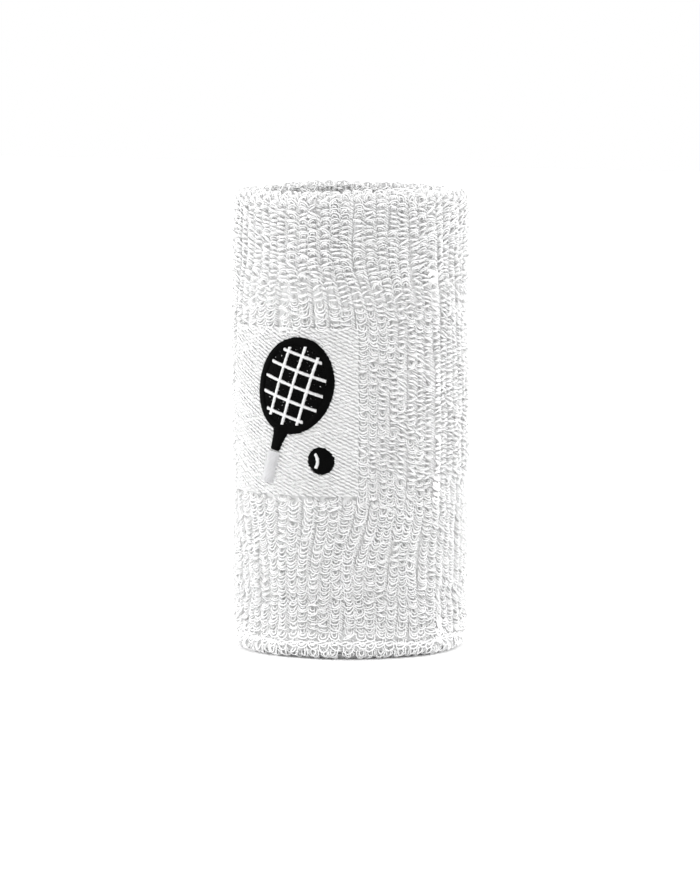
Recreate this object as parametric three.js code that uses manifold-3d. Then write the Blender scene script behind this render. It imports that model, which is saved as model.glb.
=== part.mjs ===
// Sweat wristband for racket sports: a long tube of terry knit, folded double so
// that both faces carry terry loops, and closed inside by one overlocked seam.
// Elastic yarn runs in both walls, and an embroidered panel sits on the outside.
//
// Millimetres. +Z runs along the band, the origin is the centre of the bottom
// rim, and the embroidered panel is centred on -Y.

import * as THREE from 'three';
import { mergeVertices } from 'three/addons/utils/BufferGeometryUtils.js';
import Module from 'manifold-3d';

const wasm = await Module();
wasm.setup();

// Driving dimensions of the band
const bandHeight = 120;
const bandDiameter = 61.6; // over the terry loops
const pileDepth = 1.5; // height of the terry loops
const groundThickness = 0.5; // knit that holds the loops
const elasticDiameter = 0.4;
const elasticPitch = 15; // one wrap stands for the several that lie side by side
const hemRadius = 2.8; // edge of the bottom rim, pressed flatter than the top
const clearance = 0.3; // between pieces that touch

// Closing seam, round the inside near the bottom
const seamHeight = 18;
const seamSlit = 1; // between the tube's two ends
const seamBeadWidth = 3.2;
const seamBeadThickness = 0.6;

// Embroidered panel: a block of fill stitches with a racket and a ball on it
const panelWidth = 40.6; // round the band
const panelHeight = 42.8;
const panelCentreHeight = 63.4;
const fillThickness = 0.5;
const motifThickness = 0.25;
const stabiliserThickness = 0.25;
const stabiliserMargin = 2.5; // beyond the panel, on each side
const bobbinThickness = 0.2;
const bobbinInset = 0.8;

// Racket and ball, in the panel's own plane: u round the band, v up it
const racketTilt = THREE.MathUtils.degToRad(18); // head leans towards +u
const headCentre = { u: 3.6, v: 6.6 };
const headWidth = 20.8;
const headLength = 25;
const frameWidth = 1.9; // head left plain round the strings
const stringWidth = 0.7;
const stringSpacing = 4;
const throatLength = 5;
const throatTopWidth = 6;
const shaftWidth = 2.4;
const gripLength = 8.4;
const gripWidth = 3.6;
const ballCentre = { u: 10.8, v: -12.4 };
const ballDiameter = 7;
const ballSeamWidth = 0.8;

// Facets
const facetsRound = 32;
const foldSteps = 6;
const ovalSteps = 28;

// The wall, layer by layer from either face to its middle
const wallThickness =
  2 * (pileDepth + groundThickness + elasticDiameter + 3 * clearance) +
  stabiliserThickness + clearance + bobbinThickness;
const outerRadius = bandDiameter / 2;
const boreRadius = outerRadius - wallThickness;
const midRadius = outerRadius - wallThickness / 2;
const topFoldRadius = wallThickness / 2;
const groundDepth = pileDepth + clearance;
const elasticDepth = groundDepth + groundThickness + clearance + elasticDiameter / 2;
const bobbinRadius = boreRadius + elasticDepth + elasticDiameter / 2 + clearance;
const stabiliserRadius = bobbinRadius + bobbinThickness + clearance;
const fillInnerRadius = outerRadius - pileDepth;
const motifInnerRadius = fillInnerRadius + fillThickness + clearance;
const stringInnerRadius = motifInnerRadius + motifThickness + clearance;
const panelBottom = panelCentreHeight - panelHeight / 2;
const panelHalfAngle = panelWidth / 2 / (fillInnerRadius + fillThickness);

// Yarns and threads
const yarns = {
  terry: { color: 0xf2f2f0, roughness: 0.95 },
  ground: { color: 0xe6e5e1, roughness: 0.9 },
  elastic: { color: 0xd9d6cf, roughness: 0.6 },
  seam: { color: 0xf4f4f2, roughness: 0.7 },
  stabiliser: { color: 0xe9e9e4, roughness: 0.85 },
  bobbin: { color: 0xf0f0ee, roughness: 0.6 },
  white: { color: 0xfafafa, roughness: 0.45 },
  black: { color: 0x0b0b0c, roughness: 0.4 },
  grey: { color: 0xc9cacc, roughness: 0.45 },
};
const materials = Object.fromEntries(
  Object.entries(yarns).map(([name, look]) => [
    name,
    new THREE.MeshStandardMaterial({ name, metalness: 0, ...look }),
  ]),
);

const band = new THREE.Group();
band.name = 'sweat_wristband';

function addPiece(name, geometry, material) {
  const mesh = new THREE.Mesh(geometry, material);
  mesh.name = name;
  band.add(mesh);
}

// A ring from its section in (radius, height). Its facets start at -Y, so rings
// one inside the other keep an even gap.
function turned(section) {
  const outline = [...section, section[0]].map(([r, z]) => new THREE.Vector2(r, z));
  return new THREE.LatheGeometry(outline, facetsRound).rotateX(Math.PI / 2);
}

// An arc of a fold, from one direction to another, in degrees from +r
function foldArc(centre, radius, startAngle, endAngle) {
  const steps = Math.round((foldSteps * Math.abs(endAngle - startAngle)) / 180);
  return Array.from({ length: steps + 1 }, (_, i) => {
    const turn = THREE.MathUtils.degToRad(startAngle + ((endAngle - startAngle) * i) / steps);
    return [centre[0] + radius * Math.cos(turn), centre[1] + radius * Math.sin(turn)];
  });
}

// The run of the folded tube at one depth below the terry surface: from its
// lower end at the seam, round the bottom rim, up the outside, over the top
// and down the inside to its upper end.
function foldedRun(depth) {
  const inside = boreRadius + depth;
  const hem = Math.max(hemRadius - depth, 0.1);
  const hemCentre = depth + hem;
  return [
    [inside, seamHeight - seamSlit / 2],
    ...foldArc([inside + hem, hemCentre], hem, 180, 270),
    ...foldArc([outerRadius - depth - hem, hemCentre], hem, 270, 360),
    ...foldArc([midRadius, bandHeight - topFoldRadius], topFoldRadius - depth, 0, 180),
    [inside, seamHeight + seamSlit / 2],
  ];
}

function foldedLayer(depth, thickness) {
  return turned([...foldedRun(depth), ...foldedRun(depth + thickness).reverse()]);
}

// Solids for cutting and joining
function solidOf(geometry) {
  const bare = geometry.clone();
  bare.deleteAttribute('normal');
  bare.deleteAttribute('uv');
  const merged = mergeVertices(bare, 1e-4);
  return new wasm.Manifold(new wasm.Mesh({
    numProp: 3,
    vertProperties: new Float32Array(merged.attributes.position.array),
    triVerts: new Uint32Array(merged.index.array),
  }));
}

function geometryOf(solid) {
  const { vertProperties, triVerts } = solid.getMesh();
  const geometry = new THREE.BufferGeometry();
  geometry.setAttribute('position', new THREE.Float32BufferAttribute(vertProperties, 3));
  geometry.setIndex(new THREE.Uint32BufferAttribute(triVerts, 1));
  geometry.computeVertexNormals();
  return geometry;
}

function shell(innerRadius, thickness) {
  const outer = innerRadius + thickness;
  return solidOf(turned([[innerRadius, 0], [outer, 0], [outer, bandHeight], [innerRadius, bandHeight]]));
}

// A patch of shell over the panel, larger than it by growth on each side
function patch(innerRadius, thickness, growth) {
  const halfAngle = panelHalfAngle + growth / outerRadius;
  const reach = bandDiameter;
  const wedge = new THREE.ExtrudeGeometry(new THREE.Shape([
    new THREE.Vector2(0, 0),
    new THREE.Vector2(-reach * Math.sin(halfAngle), -reach * Math.cos(halfAngle)),
    new THREE.Vector2(reach * Math.sin(halfAngle), -reach * Math.cos(halfAngle)),
  ]), { depth: panelHeight + 2 * growth, bevelEnabled: false });
  wedge.translate(0, 0, panelBottom - growth);
  return shell(innerRadius, thickness).intersect(solidOf(wedge));
}

// The terry loops, left open where the panel is stitched
const panelWindow = patch(fillInnerRadius - clearance / 2, pileDepth + clearance, clearance);
const pile = solidOf(foldedLayer(0, pileDepth)).subtract(panelWindow);
addPiece('terry_pile_tube', geometryOf(pile), materials.terry);

addPiece('ground_knit_tube', foldedLayer(groundDepth, groundThickness), materials.ground);

// Elastic yarn, wound through the ground knit of each wall
class Winding extends THREE.Curve {
  constructor(radius, bottom, turns) {
    super();
    Object.assign(this, { radius, bottom, turns });
  }
  getPoint(t) {
    const angle = 2 * Math.PI * this.turns * t;
    return new THREE.Vector3(
      this.radius * Math.sin(angle),
      -this.radius * Math.cos(angle),
      this.bottom + elasticPitch * this.turns * t,
    );
  }
  getPointAt(t) {
    return this.getPoint(t); // its speed is even
  }
}

function windElastic(radius) {
  const lowest = hemRadius + elasticDiameter;
  const highest = bandHeight - topFoldRadius - elasticDiameter;
  const turns = Math.floor((highest - lowest) / elasticPitch);
  const bottom = (lowest + highest - turns * elasticPitch) / 2;
  const yarn = new THREE.Shape(
    [0, 1, 2, 3].map((i) => new THREE.Vector2(elasticDiameter / 2, 0)
      .rotateAround(new THREE.Vector2(), (i * Math.PI) / 2)),
  );
  return new THREE.ExtrudeGeometry(yarn, {
    steps: turns * facetsRound,
    extrudePath: new Winding(radius, bottom, turns),
  });
}
addPiece('elastic_yarn_outer_wall', windElastic(outerRadius - elasticDepth), materials.elastic);
addPiece('elastic_yarn_inner_wall', windElastic(boreRadius + elasticDepth), materials.elastic);

// Overlocked seam: a bead of thread in the bore and a web through the slit
const webHalf = seamSlit / 2 - clearance;
const beadHalf = seamBeadWidth / 2;
const beadOuter = boreRadius - clearance;
const webOuter = boreRadius + groundDepth + groundThickness;
addPiece('closing_seam_thread', turned([
  [beadOuter - seamBeadThickness, seamHeight - beadHalf],
  [beadOuter, seamHeight - beadHalf],
  [beadOuter, seamHeight - webHalf],
  [webOuter, seamHeight - webHalf],
  [webOuter, seamHeight + webHalf],
  [beadOuter, seamHeight + webHalf],
  [beadOuter, seamHeight + beadHalf],
  [beadOuter - seamBeadThickness, seamHeight + beadHalf],
]), materials.seam);

// Layers of the panel, from the inside out
addPiece('bobbin_thread',
  geometryOf(patch(bobbinRadius, bobbinThickness, -bobbinInset)), materials.bobbin);
addPiece('embroidery_stabiliser',
  geometryOf(patch(stabiliserRadius, stabiliserThickness, stabiliserMargin)),
  materials.stabiliser);
addPiece('panel_fill_stitching',
  geometryOf(patch(fillInnerRadius, fillThickness, 0)), materials.white);

// Flat outlines of the motif, wrapped round the band by cutting them out of a
// thin shell
function ontoPanel(u, v, innerRadius) {
  return new THREE.Vector2(innerRadius * Math.sin(u / innerRadius), panelCentreHeight + v);
}

// From the racket's own axes: across it, and along it towards the top of the head
function racketPoint(across, along) {
  return {
    u: headCentre.u + across * Math.cos(racketTilt) + along * Math.sin(racketTilt),
    v: headCentre.v - across * Math.sin(racketTilt) + along * Math.cos(racketTilt),
  };
}

function prism(points, innerRadius) {
  const outline = points.map(({ u, v }) => ontoPanel(u, v, innerRadius));
  const column = new THREE.ExtrudeGeometry(new THREE.Shape(outline), {
    depth: bandDiameter,
    bevelEnabled: false,
  });
  return solidOf(column.rotateX(Math.PI / 2));
}

function oval(centre, width, height, tilt = 0) {
  return Array.from({ length: ovalSteps }, (_, i) => {
    const turn = (2 * Math.PI * i) / ovalSteps;
    const across = (width / 2) * Math.cos(turn);
    const along = (height / 2) * Math.sin(turn);
    return {
      u: centre.u + across * Math.cos(tilt) + along * Math.sin(tilt),
      v: centre.v - across * Math.sin(tilt) + along * Math.cos(tilt),
    };
  });
}

function racketBar(fromAcross, toAcross, fromAlong, toAlong) {
  return [
    racketPoint(fromAcross, fromAlong),
    racketPoint(toAcross, fromAlong),
    racketPoint(toAcross, toAlong),
    racketPoint(fromAcross, toAlong),
  ];
}

const motifRing = shell(motifInnerRadius, motifThickness);
const stringRing = shell(stringInnerRadius, motifThickness);
const stitched = (points) => prism(points, motifInnerRadius).intersect(motifRing);

const head = oval(headCentre, headWidth, headLength, racketTilt);
addPiece('racket_head_stitching', geometryOf(stitched(head)), materials.black);

// Strings, up and across, inside the plain frame
const stringHalfWidth = headWidth / 2 - frameWidth;
const stringHalfLength = headLength / 2 - frameWidth;
const offsets = (half) => {
  const count = Math.floor(half / stringSpacing - 0.2);
  return Array.from({ length: 2 * count + 1 }, (_, i) => (i - count) * stringSpacing);
};
const strings = [
  ...offsets(stringHalfWidth).map((at) =>
    racketBar(at - stringWidth / 2, at + stringWidth / 2, -stringHalfLength, stringHalfLength)),
  ...offsets(stringHalfLength).map((at) =>
    racketBar(-stringHalfWidth, stringHalfWidth, at - stringWidth / 2, at + stringWidth / 2)),
].map((bar) => prism(bar, stringInnerRadius)).reduce((all, bar) => all.add(bar));
const strungOval = oval(headCentre, 2 * stringHalfWidth, 2 * stringHalfLength, racketTilt);
addPiece('racket_string_stitching', geometryOf(
  strings.intersect(prism(strungOval, stringInnerRadius)).intersect(stringRing),
), materials.white);

// Throat and grip, below the head
const throatTop = -headLength / 2;
const throatBottom = throatTop - throatLength;
const gripTop = throatBottom - clearance;
const throat = stitched([
  racketPoint(-shaftWidth / 2, throatBottom),
  racketPoint(shaftWidth / 2, throatBottom),
  racketPoint(throatTopWidth / 2, throatTop + headLength / 8),
  racketPoint(-throatTopWidth / 2, throatTop + headLength / 8),
]).subtract(prism(
  oval(headCentre, headWidth + 2 * clearance, headLength + 2 * clearance, racketTilt),
  motifInnerRadius,
));
addPiece('racket_throat_stitching', geometryOf(throat), materials.black);
addPiece('racket_grip_stitching', geometryOf(stitched(
  racketBar(-gripWidth / 2, gripWidth / 2, gripTop - gripLength, gripTop),
)), materials.grey);

// Ball, with the curved line of its seam on top
addPiece('ball_stitching',
  geometryOf(stitched(oval(ballCentre, ballDiameter, ballDiameter))), materials.black);
const seamArcCentre = { u: ballCentre.u - ballDiameter * 0.55, v: ballCentre.v };
const seamArc = (width) => prism(oval(seamArcCentre, width, width), stringInnerRadius);
const ballInside = ballDiameter - 2 * ballSeamWidth;
addPiece('ball_seam_stitching', geometryOf(
  seamArc(ballDiameter).subtract(seamArc(ballDiameter - 2 * ballSeamWidth))
    .intersect(prism(oval(ballCentre, ballInside, ballInside), stringInnerRadius))
    .intersect(stringRing),
), materials.white);

export default band;
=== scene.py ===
# Sweat wristband for racket sports, standing on its bottom rim: a terry tube folded
# double, with an embroidered racket and ball. Lengths in millimetres until a mesh is made.
import math
import bpy
import numpy as np
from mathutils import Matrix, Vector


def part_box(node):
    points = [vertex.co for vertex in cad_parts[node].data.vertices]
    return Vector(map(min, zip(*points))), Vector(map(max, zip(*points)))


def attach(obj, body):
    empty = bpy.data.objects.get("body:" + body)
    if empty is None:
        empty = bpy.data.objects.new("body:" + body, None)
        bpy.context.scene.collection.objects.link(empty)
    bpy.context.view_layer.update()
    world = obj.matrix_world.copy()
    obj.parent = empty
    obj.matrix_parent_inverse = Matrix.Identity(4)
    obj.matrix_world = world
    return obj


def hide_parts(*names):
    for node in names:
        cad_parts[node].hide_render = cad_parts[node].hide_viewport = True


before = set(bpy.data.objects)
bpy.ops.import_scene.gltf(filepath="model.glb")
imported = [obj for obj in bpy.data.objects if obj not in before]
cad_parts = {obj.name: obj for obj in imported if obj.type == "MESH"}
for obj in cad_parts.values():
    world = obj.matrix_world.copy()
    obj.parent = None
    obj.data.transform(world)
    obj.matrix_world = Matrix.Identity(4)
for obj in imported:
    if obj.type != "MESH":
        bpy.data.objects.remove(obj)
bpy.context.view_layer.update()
mm = 0.001


def boxOf(node):
    low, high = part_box(node)
    return [value / mm for value in low], [value / mm for value in high]


pileHigh = boxOf("terry_pile_tube")[1]
groundHigh = boxOf("ground_knit_tube")[1]
seamLow, seamHigh = boxOf("closing_seam_thread")
fillLow, fillHigh = boxOf("panel_fill_stitching")
backingLow, backingHigh = boxOf("embroidery_stabiliser")
bobbinLow, bobbinHigh = boxOf("bobbin_thread")

band = {
    "height": pileHigh[2],
    "outerRadius": pileHigh[0],
    "pileDepth": pileHigh[0] - groundHigh[0],  # loops, from their tips to the knit
    "groundThickness": 0.5,
    "hemRadius": 2.8,  # edge of the bottom rim
    "seamSlit": 1.0,
    "step": 0.25,  # along the run of the knit
}
outerGround = groundHigh[0]
innerGround = seamHigh[0] - band["groundThickness"]
midGround = (outerGround + innerGround) / 2
topFold = (outerGround - innerGround) / 2
seamZ = (seamLow[2] + seamHigh[2]) / 2


# the run of the knit: down the inside, round the bottom rim, up and over the top
def arcPoints(centre, radius, start, end, count=24):
    turn = np.radians(np.linspace(start, end, count))
    return np.column_stack([centre[0] + radius * np.cos(turn), centre[1] + radius * np.sin(turn)])


def makeSkin():
    depth = band["pileDepth"]
    hem = band["hemRadius"] - depth
    hemZ = depth + hem
    corners = np.vstack([
        [[innerGround, seamZ - band["seamSlit"] / 2]],
        arcPoints((innerGround + hem, hemZ), hem, 180, 270),
        arcPoints((outerGround - hem, hemZ), hem, 270, 360),
        arcPoints((midGround, band["height"] - depth - topFold), topFold, 0, 180, 40),
        [[innerGround, seamZ + band["seamSlit"] / 2]],
    ])
    along = np.append(0, np.cumsum(np.linalg.norm(np.diff(corners, axis=0), axis=1)))
    s = np.arange(0, along[-1], band["step"])
    r = np.interp(s, along, corners[:, 0])
    z = np.interp(s, along, corners[:, 1])
    blur = np.ones(5) / 5  # takes the corner off where a straight meets an arc
    dr = np.convolve(np.pad(np.gradient(r), 2, mode="edge"), blur, mode="valid")
    dz = np.convolve(np.pad(np.gradient(z), 2, mode="edge"), blur, mode="valid")
    size = np.hypot(dr, dz)
    return {"s": s, "r": r, "z": z, "nr": dz / size, "nz": -dr / size, "length": along[-1]}


skin = makeSkin()


def skinAt(s):
    return [np.interp(s, skin["s"], skin[key]) for key in ("r", "z", "nr", "nz")]


def skinAtHeight(z, inside=False):
    top = int(np.argmax(skin["z"]))
    low = int(np.argmin(skin["z"]))
    if inside:
        return float(np.interp(-z, -skin["z"][top:], skin["s"][top:]))
    return float(np.interp(z, skin["z"][low:top], skin["s"][low:top]))


# the way the soft tube has settled
def softField(phi, z, seed, ripples=(1, 6), reach=40.0, modes=9):
    rng = np.random.default_rng(seed)
    total = np.zeros(np.broadcast(phi, z).shape)
    for _ in range(modes):
        turns = rng.integers(ripples[0], ripples[1] + 1)
        climb = rng.normal() * 2 * math.pi / reach
        total = total + np.cos(turns * phi + climb * z + rng.uniform(0, 2 * math.pi))
    return total / math.sqrt(modes / 2)


def step(value, low, high):
    x = np.clip((value - low) / (high - low), 0, 1)
    return x * x * (3 - 2 * x)


def hump(value, centre, width):
    return np.exp(-((value - centre) / width) ** 2)


def window(value, low, high, soft):
    return step(value, low - soft, low + soft) * (1 - step(value, high - soft, high + soft))


def azimuthGap(phi, degrees):
    return (phi - math.radians(degrees) + math.pi) % (2 * math.pi) - math.pi


settled = {
    "fluff": 0.45,  # the loops stand a little proud of the CAD shape
    "creases": (80.3, 260.3),  # folds left from lying flat in a packet
    "creaseHeight": 0.8,
    "creaseWidth": 1.5,
    "besideCrease": (0.55, 4.2, 2.4),  # hollow next to it: share of its height, how far on, width
    "creaseRuns": ((95, 109), (65, 75), (41, 57), (3, 18)),
    "grooveLow": (15.0, 2.0, -0.55),  # height, width, depth
    "grooveRight": (43.0, 2.2, -0.6),
    "grooveRightSpan": (118, 0.75),  # degrees round the band, reach in radians
    "belly": (47.0, 78.0, 0.45),  # from, to, how far out
    "topNarrowing": 0.3,
    "lumps": 0.14,
    "rimWave": 0.35,
}


def creaseRun(z):
    return sum(window(z, low, high, 2.5) for low, high in settled["creaseRuns"])


def swell(phi, z):
    # how far the skin stands out from the CAD shape
    out = settled["fluff"] + settled["lumps"] * softField(phi, z, 3, (1, 7), 45)
    hollow, aside, hollowWidth = settled["besideCrease"]
    for degrees in settled["creases"]:
        across = azimuthGap(phi, degrees) * band["outerRadius"]
        ridge = hump(across, 0, settled["creaseWidth"]) - hollow * hump(across, aside, hollowWidth)
        out = out + settled["creaseHeight"] * ridge * (0.25 + 0.75 * creaseRun(z))
    z0, width, depth = settled["grooveLow"]
    out = out + depth * hump(z, z0 + 0.8 * np.sin(phi + 0.7), width)
    z0, width, depth = settled["grooveRight"]
    degrees, span = settled["grooveRightSpan"]
    out = out + depth * hump(z, z0, width) * hump(azimuthGap(phi, degrees), 0, span)
    low, high, rise = settled["belly"]
    out = out + rise * window(z, low, high, 7)
    out = out - settled["topNarrowing"] * step(z, 96, 118) * (0.55 - 0.45 * np.cos(phi - math.radians(125)))
    return out


def onCrease(phi, z):
    across = [azimuthGap(phi, degrees) * band["outerRadius"] for degrees in settled["creases"]]
    return creaseRun(z) * sum(hump(gap, 0, settled["creaseWidth"]) for gap in across)


def wallShare(r):
    # the inner wall follows the outer one only in part
    return 0.6 + 0.4 * step(r, innerGround, outerGround)


def aroundBand(phi, r, z):
    r = r + swell(phi, z) * wallShare(r)
    z = z + settled["rimWave"] * softField(phi, 0 * z, 8, (1, 4)) * step(z, 90, 120)
    z = np.maximum(z, 0.03 + 0.02 * np.sin(9 * phi))  # yarn that would pass the floor lies on it
    return np.stack([r * np.sin(phi), -r * np.cos(phi), z], axis=-1)


def onSkin(phi, s, height):
    r, z, nr, nz = skinAt(s)
    return aroundBand(phi, r + height * nr, z + height * nz)


# meshes
def meshFrom(name, points, corners, starts, totals, maps, smooth=True):
    mesh = bpy.data.meshes.new(name)
    mesh.vertices.add(len(points))
    mesh.vertices.foreach_set("co", np.ascontiguousarray(points * mm, dtype=np.float32).ravel())
    mesh.loops.add(len(corners))
    mesh.loops.foreach_set("vertex_index", corners.astype(np.int32))
    mesh.polygons.add(len(starts))
    mesh.polygons.foreach_set("loop_start", starts.astype(np.int32))
    mesh.polygons.foreach_set("loop_total", totals.astype(np.int32))
    for mapName, uv in maps.items():
        layer = mesh.uv_layers.new(name=mapName)
        layer.data.foreach_set("uv", np.ascontiguousarray(uv, dtype=np.float32).ravel())
    mesh.update(calc_edges=True)
    mesh.validate()
    mesh.polygons.foreach_set("use_smooth", np.full(len(mesh.polygons), smooth))
    thing = bpy.data.objects.new(name, mesh)
    bpy.context.collection.objects.link(thing)
    return thing


def tubes(name, paths, radius, sides=5):
    # many yarns at once: paths is (yarns, points, 3)
    count, steps = paths.shape[:2]
    along = np.gradient(paths, axis=1)
    along /= np.linalg.norm(along, axis=2, keepdims=True) + 1e-12
    aside = np.empty_like(paths)
    guess = np.where(np.abs(along[:, 0, 2:3]) > 0.8, [[1.0, 0, 0]], [[0, 0, 1.0]])
    for p in range(steps):
        guess = guess - (guess * along[:, p]).sum(1, keepdims=True) * along[:, p]
        guess = guess / (np.linalg.norm(guess, axis=1, keepdims=True) + 1e-12)
        aside[:, p] = guess
    third = np.cross(along, aside)
    turn = 2 * np.pi * np.arange(sides) / sides
    size = np.broadcast_to(np.asarray(radius, float), (count, steps))[:, :, None, None]
    ring = aside[:, :, None] * np.cos(turn)[:, None] + third[:, :, None] * np.sin(turn)[:, None]
    points = (paths[:, :, None] + size * ring).reshape(-1, 3)

    yarn = np.arange(count)[:, None, None]
    p = np.arange(steps - 1)[None, :, None]
    k = np.arange(sides)[None, None, :]
    nextK = (k + 1) % sides
    first = (yarn * steps + p) * sides
    quads = np.stack([first + k, first + nextK, first + sides + nextK, first + sides + k], axis=-1)
    wall = quads.reshape(-1)
    startRing = (np.arange(count) * steps * sides)[:, None] + np.arange(sides)[::-1]
    endRing = ((np.arange(count) * steps + steps - 1) * sides)[:, None] + np.arange(sides)
    corners = np.concatenate([wall, startRing.ravel(), endRing.ravel()])
    faces = len(wall) // 4
    totals = np.concatenate([np.full(faces, 4), np.full(2 * count, sides)])
    starts = np.concatenate([[0], np.cumsum(totals)[:-1]])

    # each yarn has a cell of its own in the map
    cells = math.ceil(math.sqrt(count))
    cell = np.stack([np.arange(count) % cells, np.arange(count) // cells], axis=-1)
    kk = np.stack([k + 0 * p, k + 1 + 0 * p, k + 1 + 0 * p, k + 0 * p], axis=-1) + 0 * yarn[..., None]
    pp = np.stack([p + 0 * k, p + 0 * k, p + 1 + 0 * k, p + 1 + 0 * k], axis=-1) + 0 * yarn[..., None]
    wallUv = np.stack([0.06 + 0.88 * kk / sides, 0.12 + 0.76 * pp / (steps - 1)], axis=-1)
    wallUv = (wallUv + cell[:, None, None, None, :]) / cells
    disc = 0.035 * np.stack([np.cos(turn), np.sin(turn)], axis=-1)
    startUv = (disc[::-1][None] + [0.25, 0.05] + cell[:, None]) / cells
    endUv = (disc[None] + [0.75, 0.05] + cell[:, None]) / cells
    bake = np.concatenate([wallUv.reshape(-1, 2), startUv.reshape(-1, 2), endUv.reshape(-1, 2)])

    # the yarn's own map: once round it, and millimetres along it
    pieces = np.linalg.norm(np.diff(paths, axis=1), axis=2)
    run = np.concatenate([np.zeros((count, 1)), np.cumsum(pieces, axis=1)], axis=1)
    lengths = np.take_along_axis(run, pp.reshape(count, -1), axis=1).reshape(-1)
    twist = np.stack([(kk / sides).reshape(-1), lengths], axis=-1)
    caps = np.zeros((2 * count * sides, 2))
    return meshFrom(name, points, corners, starts, totals,
                    {"OFBake": bake, "yarn": np.concatenate([twist, caps])})


def sheetMesh(name, points, closed=False):
    # a grid of (rows, columns, 3); closed joins its last column to its first
    rows, columns = points.shape[:2]
    wide = columns if closed else columns - 1
    i = np.arange(rows - 1)[:, None]
    j = np.arange(wide)[None, :]
    nextJ = (j + 1) % columns
    here, above = i * columns, (i + 1) * columns
    quads = np.stack([here + j, here + nextJ, above + nextJ, above + j], axis=-1)
    u = np.stack([j + 0 * i, j + 1 + 0 * i, j + 1 + 0 * i, j + 0 * i], axis=-1) / wide
    v = np.stack([i + 0 * j, i + 0 * j, i + 1 + 0 * j, i + 1 + 0 * j], axis=-1) / (rows - 1)
    uv = np.stack([u, v], axis=-1).reshape(-1, 2)
    count = quads.shape[0] * quads.shape[1]
    return meshFrom(name, points.reshape(-1, 3), quads.reshape(-1), np.arange(count) * 4,
                    np.full(count, 4), {"OFBake": 0.01 + 0.98 * uv})


# materials
def newMaterial(name):
    material = bpy.data.materials.new(name)
    material.use_nodes = True
    nodes = material.node_tree.nodes
    shader = nodes["Principled BSDF"]
    return material, nodes, material.node_tree.links, shader


def ramp(nodes, links, source, low, high, fromAt=0.3, toAt=0.7):
    node = nodes.new("ShaderNodeValToRGB")
    node.color_ramp.elements[0].position = fromAt
    node.color_ramp.elements[1].position = toAt
    node.color_ramp.elements[0].color = low
    node.color_ramp.elements[1].color = high
    links.new(source, node.inputs["Fac"])
    return node.outputs["Color"]


def shade(colour, amount):
    return [channel * amount for channel in colour] + [1.0]


def noise(nodes, links, coordinates, scale, detail=3.0):
    node = nodes.new("ShaderNodeTexNoise")
    node.inputs["Scale"].default_value = scale
    node.inputs["Detail"].default_value = detail
    links.new(coordinates, node.inputs["Vector"])
    return node.outputs["Fac"]


def sumNode(nodes, links, kind, first, second=None, third=None):
    node = nodes.new("ShaderNodeMath")
    node.operation = kind
    for slot, value in enumerate((first, second, third)):
        if value is None:
            continue
        if isinstance(value, (int, float)):
            node.inputs[slot].default_value = value
        else:
            links.new(value, node.inputs[slot])
    return node.outputs["Value"]


def roughnessFrom(nodes, links, fibres, roughness, above):
    low = shade([roughness - 0.08] * 3, 1)
    high = shade([roughness + above] * 3, 1)
    return ramp(nodes, links, fibres, low, high)


def yarnMaterial(name, look):
    # cloudy colour, fibres in the sheen, and plies that wind along the yarn's own map
    material, nodes, links, shader = newMaterial(name)
    place = nodes.new("ShaderNodeTexCoord")
    cloudy = noise(nodes, links, place.outputs["Object"], look["cloudScale"])
    colour = ramp(nodes, links, cloudy, shade(look["colour"], look["darkest"]), shade(look["colour"], 1.0))
    links.new(colour, shader.inputs["Base Color"])
    fibres = noise(nodes, links, place.outputs["Object"], look["fibreScale"], 4)
    rough = roughnessFrom(nodes, links, fibres, look["roughness"], 0.06)
    links.new(rough, shader.inputs["Roughness"])
    wound = nodes.new("ShaderNodeUVMap")
    wound.uv_map = "yarn"
    parts = nodes.new("ShaderNodeSeparateXYZ")
    links.new(wound.outputs["UV"], parts.inputs["Vector"])
    climb = sumNode(nodes, links, "MULTIPLY", parts.outputs["Y"], 2 * math.pi / look["twist"])
    angle = sumNode(nodes, links, "MULTIPLY_ADD", parts.outputs["X"], 2 * math.pi * look["plies"], climb)
    ply = sumNode(nodes, links, "SINE", angle)
    height = sumNode(nodes, links, "MULTIPLY_ADD", ply, look["plyDepth"], fibres)
    bump = nodes.new("ShaderNodeBump")
    bump.inputs["Strength"].default_value = look["bump"]
    bump.inputs["Distance"].default_value = look["bumpDepth"] * mm
    links.new(height, bump.inputs["Height"])
    links.new(bump.outputs["Normal"], shader.inputs["Normal"])
    shader.inputs["Specular IOR Level"].default_value = look["gloss"]
    shader.inputs["Sheen Weight"].default_value = look["sheen"]
    shader.inputs["Sheen Roughness"].default_value = 0.5
    return material


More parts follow.
